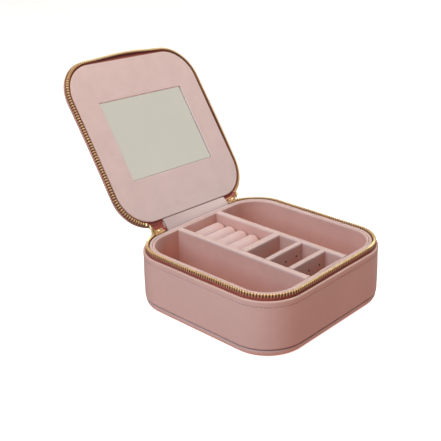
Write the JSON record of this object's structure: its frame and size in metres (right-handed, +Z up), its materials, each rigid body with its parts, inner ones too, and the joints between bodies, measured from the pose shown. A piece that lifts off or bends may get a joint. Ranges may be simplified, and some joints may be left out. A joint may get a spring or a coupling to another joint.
{
  "type": "travel jewelry case",
  "caption": "Zip-round travel jewelry case with a mirrored lid on a soft hinge, and a tray with long compartments, ring rolls and small boxes for stud earrings.",
  "frame": {"origin": "centre of the flat bottom face of the base", "axes": "+Z up, +Y towards the hinge, +X to the right of someone who faces the open case"},
  "size_m": [0.1541, 0.2407, 0.1799],
  "materials": {
    "leatherette": "smooth blush-pink leatherette, low sheen, very fine grain",
    "suede": "short-nap pale pink microsuede",
    "velvet": "pale pink velvet over foam",
    "zip_tape": "woven zip tape in deep pink, and the same cloth glued over the frames beside it",
    "brass": "polished gold-coloured zip hardware",
    "mirror_glass": "flat silvered glass",
    "board": "grey board, hidden under the coverings",
    "foam": "thin foam padding, hidden"
  },
  "bodies": {
    "base": {"base_bottom_cover": "leatherette", "base_bottom_board": "board", "base_wall": "leatherette", "base_frame_board": "zip_tape", "base_zip_tape": "zip_tape", "base_zip_teeth": "brass", "base_zip_stops": "brass", "base_liner": "suede", "tray_wall": "suede", "tray_floor": "suede", "divider_left": "suede", "divider_right": "suede", "divider_ring_end": "suede", "divider_stud_back": "suede", "divider_stud_front": "suede", "ring_pad": "velvet", "ring_roll_1": "velvet", "ring_roll_2": "velvet", "ring_roll_3": "velvet", "ring_roll_4": "velvet", "ring_roll_5": "velvet", "hinge_strip_lower": "leatherette", "hinge_lining_lower": "suede"},
    "lid": {"lid_wall": "leatherette", "lid_top_panel": "leatherette", "lid_padding": "foam", "lid_board": "board", "lid_frame_board": "zip_tape", "lid_zip_tape": "zip_tape", "lid_zip_teeth": "brass", "lid_zip_stops": "brass", "lid_panel": "suede", "mirror": "mirror_glass", "mirror_surround": "board", "hinge_strip_upper": "leatherette", "hinge_lining_upper": "suede"},
    "slider_left": {"slider_left": "brass"},
    "pull_left": {"pull_left": "brass"},
    "slider_right": {"slider_right": "brass"},
    "pull_right": {"pull_right": "brass"}
  },
  "joints": [
    {"name": "lid_fold", "type": "hinge", "parent": "base", "child": "lid", "pos_m": [0, 0.075, 0.054], "axis": [0.9994, 0, -0.0349], "range_deg": [0, 124.6]},
    {"name": "slider_left_run", "type": "hinge", "parent": "base", "child": "slider_left", "pos_m": [-0.0425, 0.0425, 0.0518], "axis": [0, 0, 1], "range_deg": [0, 84]},
    {"name": "slider_right_run", "type": "hinge", "parent": "base", "child": "slider_right", "pos_m": [0.0425, 0.0425, 0.0518], "axis": [0, 0, -1], "range_deg": [0, 84]},
    {"name": "pull_left_swing", "type": "hinge", "parent": "slider_left", "child": "pull_left", "pos_m": [-0.0443, 0.07685, 0.0492], "axis": [0.9986, 0.0523, 0], "range_deg": [0, 40]},
    {"name": "pull_right_swing", "type": "hinge", "parent": "slider_right", "child": "pull_right", "pos_m": [0.0443, 0.07685, 0.0492], "axis": [0.9986, -0.0523, 0], "range_deg": [0, 40]}
  ]
}
